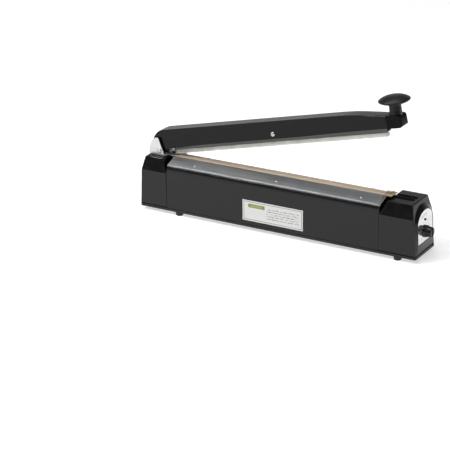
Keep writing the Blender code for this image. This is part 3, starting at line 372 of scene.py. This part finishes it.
def dress(name, material, edge):
    """Give a CAD node its finish, rounded edges and even shading."""
    piece = NODES[name]
    piece.data.materials.clear()
    piece.data.materials.append(MATERIALS[material])
    for face in piece.data.polygons:
        face.use_smooth = True
    if name in CREASED:
        mark_folds(piece.data)
    weld = piece.modifiers.new("Weld", "WELD")
    weld.merge_threshold = 0.000004
    if edge:
        bevel = piece.modifiers.new("Edges", "BEVEL")
        bevel.width = edge * MM
        bevel.segments = 2
        bevel.limit_method = "ANGLE"
        bevel.angle_limit = math.radians(SHARP_ANGLE)
        bevel.miter_outer = "MITER_ARC"
    normals = piece.modifiers.new("Normals", "WEIGHTED_NORMAL")
    normals.mode = "FACE_AREA_WITH_ANGLE"
    normals.weight = 80
    normals.keep_sharp = True


def dress_all():
    """Give every CAD node its own finish."""
    for name in sorted(NODES):
        dress(name, SPECIAL.get(name, SLOT_OF[name]), EDGES.get(name, 0.0))


# ---------------------------------------------------------------- new pieces

def new_piece(name, shape, material, body, angle=35.0):
    """Turn a bmesh in row-frame metres into a piece on a body."""
    bmesh.ops.recalc_face_normals(shape, faces=shape.faces[:])
    mesh = bpy.data.meshes.new(name)
    shape.to_mesh(mesh)
    shape.free()
    mesh.materials.append(MATERIALS[material])
    mesh.shade_smooth()
    mesh.set_sharp_from_angle(angle=math.radians(angle))
    return place_piece(name, mesh, body)


def mesh_of(data, material):
    """Return the finished mesh of a curve or a text."""
    holder = bpy.data.objects.new(data.name, data)
    bpy.context.scene.collection.objects.link(holder)
    graph = bpy.context.evaluated_depsgraph_get()
    mesh = bpy.data.meshes.new_from_object(holder.evaluated_get(graph))
    bpy.data.objects.remove(holder)
    mesh.materials.clear()
    mesh.materials.append(MATERIALS[material])
    return mesh


def place_piece(name, mesh, body):
    """Put a mesh in the scene as a piece on a body."""
    made = bpy.data.objects.new(name, mesh)
    bpy.context.scene.collection.objects.link(made)
    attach(made, body)
    return made


def circle(radius, height, sides):
    """Points of a level circle about Z."""
    for step in range(sides):
        angle = 2.0 * math.pi * step / sides
        yield (radius * math.cos(angle), radius * math.sin(angle), height)


def turned(profile, sides):
    """Return a bmesh of a (radius, height) line in mm turned about Z."""
    shape = bmesh.new()
    rings = []
    for radius, height in profile:
        if radius == 0.0:
            rings.append([shape.verts.new((0.0, 0.0, height * MM))])
            continue
        spots = circle(radius * MM, height * MM, sides)
        rings.append([shape.verts.new(spot) for spot in spots])
    for ring, after in zip(rings, rings[1:]):
        for step in range(sides):
            follow = (step + 1) % sides
            corners = [ring[step % len(ring)], ring[follow % len(ring)]]
            corners += [after[follow % len(after)], after[step % len(after)]]
            shape.faces.new(list(dict.fromkeys(corners)))
    return shape


def smooth_line(points, steps):
    """Return a profile with Catmull-Rom points between the given ones."""
    line = []
    for index in range(len(points) - 1):
        before = points[max(index - 1, 0)]
        start, end = points[index], points[index + 1]
        after = points[min(index + 2, len(points) - 1)]
        for step in range(steps):
            t = step / steps
            value = []
            for axis in range(2):
                a, b, c, d = before[axis], start[axis], end[axis], after[axis]
                square = (2 * a - 5 * b + 4 * c - d) * t * t
                cube = (3 * b - a - 3 * c + d) * t ** 3
                value.append(0.5 * (2 * b + (c - a) * t + square + cube))
            line.append((max(value[0], 0.0), value[1]))
    line.append(points[-1])
    return line


# Press knob: half its section as (radius, height) in mm above its seat on the arm
KNOB_LINE = (
    (10.6, 0.35), (10.4, 2.4), (10.05, 6.6), (9.9, 12.0), (9.95, 16.6), (10.9, 18.7), (15.6, 19.5),
    (21.5, 21.2), (24.9, 23.1), (25.95, 24.6), (25.3, 26.1), (21.7, 28.5), (16.4, 30.8),
    (10.4, 32.3), (5.0, 32.8), (0.0, 33.05),
)
# Its seat in metres from the hinge pin, along the raised arm's own axes
KNOB_SEAT = (0.4538, 0.0, 0.0254)
KNOB_LEAN = math.radians(4.4)


def build_press_knob():
    """Mushroom knob with a smooth crowned cap."""
    line = [(0.0, KNOB_LINE[0][1])] + smooth_line(KNOB_LINE, 4)
    shape = turned(line, 96)
    place = arm_matrix() @ Matrix.Translation(KNOB_SEAT) @ Matrix.Rotation(KNOB_LEAN, 4, "Y")
    bmesh.ops.transform(shape, matrix=place, verts=shape.verts[:])
    knob = new_piece("press_knob_smooth", shape, "knob_plastic", "arm", 50.0)
    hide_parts("press_knob")


def cross_head(radius, height):
    """Return a bmesh in metres of a pan head about Z, given in mm, with a cross recess."""
    sides = 48
    recess = 0.62
    shape = bmesh.new()
    rings = []
    levels = ((1.0, 0.0), (1.0, 0.35), (0.94, 0.62), (0.8, 0.85), (recess, 0.97))
    for share, lift in levels:
        spots = circle(share * radius, lift * height, sides)
        rings.append([shape.verts.new(spot) for spot in spots])
    inner = []
    floor = []
    arm = recess * 0.92
    waist = recess * 0.3
    for step in range(sides):
        angle = 2.0 * math.pi * step / sides
        reach = min(arm, waist / max(0.001, min(abs(math.sin(angle)), abs(math.cos(angle)))))
        x, y = reach * radius * math.cos(angle), reach * radius * math.sin(angle)
        inner.append(shape.verts.new((x, y, height * 0.98)))
        floor.append(shape.verts.new((x * 0.8, y * 0.8, height * 0.42)))
    rings += [inner, floor]
    shape.faces.new(rings[0])
    shape.faces.new(floor)
    for ring, after in zip(rings, rings[1:]):
        for step in range(sides):
            follow = (step + 1) % sides
            shape.faces.new((ring[step], ring[follow], after[follow], after[step]))
    bmesh.ops.scale(shape, vec=(MM, MM, MM), verts=shape.verts[:])
    return shape


# The clamps slope down from a ridge line; their faces stand a lift above it
CLAMP_SLOPE = 0.36
RIDGE_Y, RIDGE_Z = 5.8, 95.0
CLAMP_FACE_LIFT = 1.78
CLAMP_SCREW_Y = 21.5
CLAMP_HEAD_RADIUS = 2.8
CLAMP_HEADS = ((-1, "front", 1.35), (1, "rear", 0.8))


def build_clamp_screws():
    """Cross-head screws along both cloth clamps."""
    length = math.hypot(1.0, CLAMP_SLOPE)
    face_z = RIDGE_Z - CLAMP_SLOPE * (CLAMP_SCREW_Y - RIDGE_Y) + CLAMP_FACE_LIFT
    for side, word, rise in CLAMP_HEADS:
        out = Vector((0.0, side * CLAMP_SLOPE / length, 1.0 / length))
        along = Vector((1.0, 0.0, 0.0))
        turn = Matrix((along, out.cross(along), out)).transposed().to_4x4()
        for index in range(3):
            node = f"clamp_screw_{word}_{index + 1}"
            low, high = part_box(node)
            seat = Vector(((low.x + high.x) / 2, side * CLAMP_SCREW_Y * MM, face_z * MM))
            shape = cross_head(CLAMP_HEAD_RADIUS, rise)
            spin = Matrix.Rotation(0.5 + 0.7 * index, 4, "Z")
            place = Matrix.Translation(seat) @ turn @ spin
            bmesh.ops.transform(shape, matrix=place, verts=shape.verts[:])
            head = new_piece(node + "_head", shape, "steel", "base")
            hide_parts(node)


# Terminal screws, in mm: their x, the y and z of their seats, and their heads' size
TERMINAL_X = (("left", 58.0), ("right", 458.2))
TERMINAL_Y, TERMINAL_Z = 10.8, 96.2
TERMINAL_HEAD = (2.7, 1.8)


def build_terminal_screws():
    """Cross-head screws on the element's terminals."""
    for word, x in TERMINAL_X:
        shape = cross_head(*TERMINAL_HEAD)
        seat = station(x, TERMINAL_Y, TERMINAL_Z)
        bmesh.ops.translate(shape, vec=seat, verts=shape.verts[:])
        head = new_piece(f"terminal_screw_{word}_head", shape, "steel", "base")
        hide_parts("terminal_screw_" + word)


# Lift spring, in mm: where it stands, its coil and its wire
SPRING_X = 42.5
SPRING_LOW, SPRING_HIGH = 99.0, 106.8
SPRING_RADIUS = 3.2
SPRING_WIRE = 0.5
SPRING_TURNS = 5.5


def build_spring():
    """Lift spring with closed end coils."""
    curve = bpy.data.curves.new("lift_spring_coil", "CURVE")
    curve.dimensions = "3D"
    curve.bevel_depth = SPRING_WIRE * MM
    curve.bevel_resolution = 4
    curve.use_fill_caps = True
    steps = 240
    spline = curve.splines.new("POLY")
    spline.points.add(steps)
    for step in range(steps + 1):
        share = step / steps
        ease = min(1.0, max(0.0, (share - 0.13) / 0.74))
        angle = 2.0 * math.pi * SPRING_TURNS * share
        height = SPRING_LOW + (SPRING_HIGH - SPRING_LOW) * (0.1 * share + 0.9 * ease)
        x, y = SPRING_X + SPRING_RADIUS * math.cos(angle), SPRING_RADIUS * math.sin(angle)
        spline.points[step].co = (*station(x, y, height), 1.0)
    mesh = mesh_of(curve, "chrome")
    mesh.shade_smooth()
    coil = place_piece("lift_spring_coil", mesh, "base")
    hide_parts("lift_spring")
    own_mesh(coil)


# Dial plate, in mm: the dial's height, the plate's x there and its lean
DIAL_Z = 44.7
PLATE_X = 521.305
PLATE_LEAN = 0.037
PRINT_THICK = 0.05
SCALE_STEPS = 10
SCALE_START, SCALE_SWEEP = 215.0, 250.0
MARK_START, MARK_END, MARK_HALF = 12.4, 14.4, 0.28
NUMERAL_REACH = 17.6
NUMERAL_SIZE = 3.9
BAND_LOW, BAND_HIGH = 28.3, 29.7
BAND_START, BAND_PITCH, BAND_DASH = 80.0, 6.0, 4.0


def print_x(z):
    """X of the print on the leaning dial plate at a height."""
    return PLATE_X + PLATE_LEAN * (DIAL_Z - z)


def flat_shape(outlines):
    """Return a bmesh in metres of thin prints on the dial plate, from (y, z) outlines in mm."""
    shape = bmesh.new()
    for outline in outlines:
        near = [shape.verts.new(station(print_x(z), y, z)) for y, z in outline]
        far = [shape.verts.new(station(print_x(z) + PRINT_THICK, y, z)) for y, z in outline]
        shape.faces.new(near)
        shape.faces.new(far)
        for index in range(len(outline)):
            after = (index + 1) % len(outline)
            shape.faces.new((near[index], near[after], far[after], far[index]))
    return shape


def dial_spot(reach, angle, offset=0.0):
    """(y, z) at a distance from the dial's axis, moved sideways by an offset."""
    return (
        reach * math.cos(angle) - offset * math.sin(angle),
        DIAL_Z + reach * math.sin(angle) + offset * math.cos(angle),
    )


def scale_angle(index):
    """Angle of a step of the scale, counted from the rear upwards."""
    return math.radians(SCALE_START - SCALE_SWEEP * index / SCALE_STEPS)


def build_dial_marks():
    """Scale marks and a band of short dashes printed on the dial plate."""
    marks = {"print_grey": [], "print_red": []}
    for index in range(SCALE_STEPS + 1):
        angle = scale_angle(index)
        end = MARK_END + (1.0 if index % 5 == 0 else 0.0)
        start, half = MARK_START, MARK_HALF
        corners = ((start, -half), (start, half), (end, half), (end, -half))
        outline = [dial_spot(reach, angle, offset) for reach, offset in corners]
        marks["print_red" if index in (3, 4, 5) else "print_grey"].append(outline)
    for step in range(7):
        low = math.radians(BAND_START + BAND_PITCH * step)
        high = low + math.radians(BAND_DASH)
        corners = ((BAND_LOW, low), (BAND_LOW, high), (BAND_HIGH, high), (BAND_HIGH, low))
        marks["print_red"].append([dial_spot(reach, angle) for reach, angle in corners])
    for material, outlines in marks.items():
        new_piece("dial_marks_" + material, flat_shape(outlines), material, "base")


def build_dial_numerals():
    """Every second number of the scale, printed on the dial plate."""
    turn = Matrix(((0, 0, 1, 0), (1, 0, 0, 0), (0, 1, 0, 0), (0, 0, 0, 1)))
    lean = Matrix.Rotation(-math.atan(PLATE_LEAN), 4, "Y")
    for index in range(0, SCALE_STEPS + 1, 2):
        y, z = dial_spot(NUMERAL_REACH, scale_angle(index))
        text = bpy.data.curves.new("dial_numeral", "FONT")
        text.body = str(index)
        text.size = NUMERAL_SIZE * MM
        text.extrude = 0.5 * PRINT_THICK * MM
        text.align_x = "CENTER"
        text.align_y = "CENTER"
        text.resolution_u = 3
        mesh = mesh_of(text, "print_red" if index == 4 else "print_grey")
        middle = station(print_x(z) + 0.035, y, z)
        mesh.transform(Matrix.Translation(middle) @ lean @ turn)
        place_piece(f"dial_numeral_{index}", mesh, "base")


# ---------------------------------------------------------------- set

FLOOR_HALF = 14.0
FLOOR_DROP = 0.0002

# How bright the world is along a line that points away from the camera and down
WORLD_LINE = (-0.3, 0.9, -1.6)
WORLD_STEPS = ((0.0, 0.03), (0.26, 0.36), (0.7, 0.5), (0.95, 1.0))

# Square softboxes: name, place and size in metres, power in watts
SOFTBOXES = (
    ("overhead_softbox", (-0.4, -0.5, 2.8), 2.4, 70.0),
    ("edge_softbox", (-1.3, -1.35, 1.9), 0.5, 40.0),
    ("right_softbox", (2.3, 1.7, 0.5), 0.4, 12.0),
)


def build_floor():
    """Pale floor."""
    floor_mesh = bpy.data.meshes.new("floor")
    half = FLOOR_HALF
    corners = [(-half, -half, 0), (half, -half, 0), (half, half, 0), (-half, half, 0)]
    floor_mesh.from_pydata(corners, [], [(0, 1, 2, 3)])
    g = Graph("floor")
    shade = g.mix(g.noise(3.0), rgb(0.58, 0.58, 0.58), rgb(0.6, 0.6, 0.6))
    glow = dict(Emission_Color=rgb(1.0, 1.0, 1.0), Emission_Strength=0.6)
    floor_mesh.materials.append(g.finish(shade, 0.6, Specular_IOR_Level=0.1, **glow))
    floor = bpy.data.objects.new("floor", floor_mesh)
    floor.location.z = -FLOOR_DROP
    bpy.context.scene.collection.objects.link(floor)


def build_world():
    """Studio surroundings: dark in front, brighter behind and below."""
    world = bpy.data.worlds.new("studio")
    world.use_nodes = True
    bpy.context.scene.world = world
    tree = world.node_tree
    coord = tree.nodes.new("ShaderNodeTexCoord")
    toward = tree.nodes.new("ShaderNodeVectorMath")
    toward.operation = "DOT_PRODUCT"
    toward.inputs[1].default_value = WORLD_LINE
    ramp = tree.nodes.new("ShaderNodeValToRGB")
    tree.links.new(coord.outputs["Generated"], toward.inputs[0])
    tree.links.new(toward.outputs["Value"], ramp.inputs["Fac"])
    stops = ramp.color_ramp.elements
    while len(stops) < len(WORLD_STEPS):
        stops.new(0.5)
    for stop, (where, grey) in zip(stops, WORLD_STEPS):
        stop.position = where
        stop.color = (grey, grey, grey, 1.0)
    tree.links.new(ramp.outputs["Color"], tree.nodes["Background"].inputs["Color"])
    tree.nodes["Background"].inputs["Strength"].default_value = 1.0


def add_softbox(name, place, size, power):
    """A square softbox aimed at the machine."""
    light = bpy.data.lights.new(name, "AREA")
    light.size = size
    light.energy = power
    lamp = bpy.data.objects.new(name, light)
    lamp.location = place
    aim = Vector((0.0, 0.0, 0.08)) - Vector(place)
    lamp.rotation_euler = aim.to_track_quat("-Z", "Y").to_euler()
    bpy.context.scene.collection.objects.link(lamp)


# Camera: azimuth, elevation and roll in degrees, distance in metres, and what it looks at in mm
CAMERA_ANGLES = (31.36, 21.98, -1.3)
CAMERA_DISTANCE = 3.066
CAMERA_TARGET = (150.3, -4.8, -13.5)
CAMERA_LENS = 144.0


def build_camera():
    """Long-lens camera to the right of and above the front."""
    azimuth, elevation, roll = (math.radians(angle) for angle in CAMERA_ANGLES)
    level_reach = math.cos(elevation)
    back = Vector((
        math.sin(azimuth) * level_reach, -math.cos(azimuth) * level_reach, math.sin(elevation),
    ))
    level = Vector((0.0, 0.0, 1.0)).cross(back).normalized()
    upright = back.cross(level)
    right = math.cos(roll) * level + math.sin(roll) * upright
    up = math.cos(roll) * upright - math.sin(roll) * level
    data = bpy.data.cameras.new("camera")
    data.lens = CAMERA_LENS
    data.sensor_width = 36.0
    data.clip_end = 60.0
    camera = bpy.data.objects.new("camera", data)
    turn = Matrix((right, up, back)).transposed().to_4x4()
    place = station(*CAMERA_TARGET) + back * CAMERA_DISTANCE
    camera.matrix_world = Matrix.Translation(place) @ turn
    bpy.context.scene.collection.objects.link(camera)
    bpy.context.scene.camera = camera


bpy.context.scene.view_settings.view_transform = "Standard"
build_camera()
build_floor()
build_world()
for softbox in SOFTBOXES:
    add_softbox(*softbox)
dress_all()
build_press_knob()
build_clamp_screws()
build_terminal_screws()
build_spring()
build_dial_marks()
build_dial_numerals()
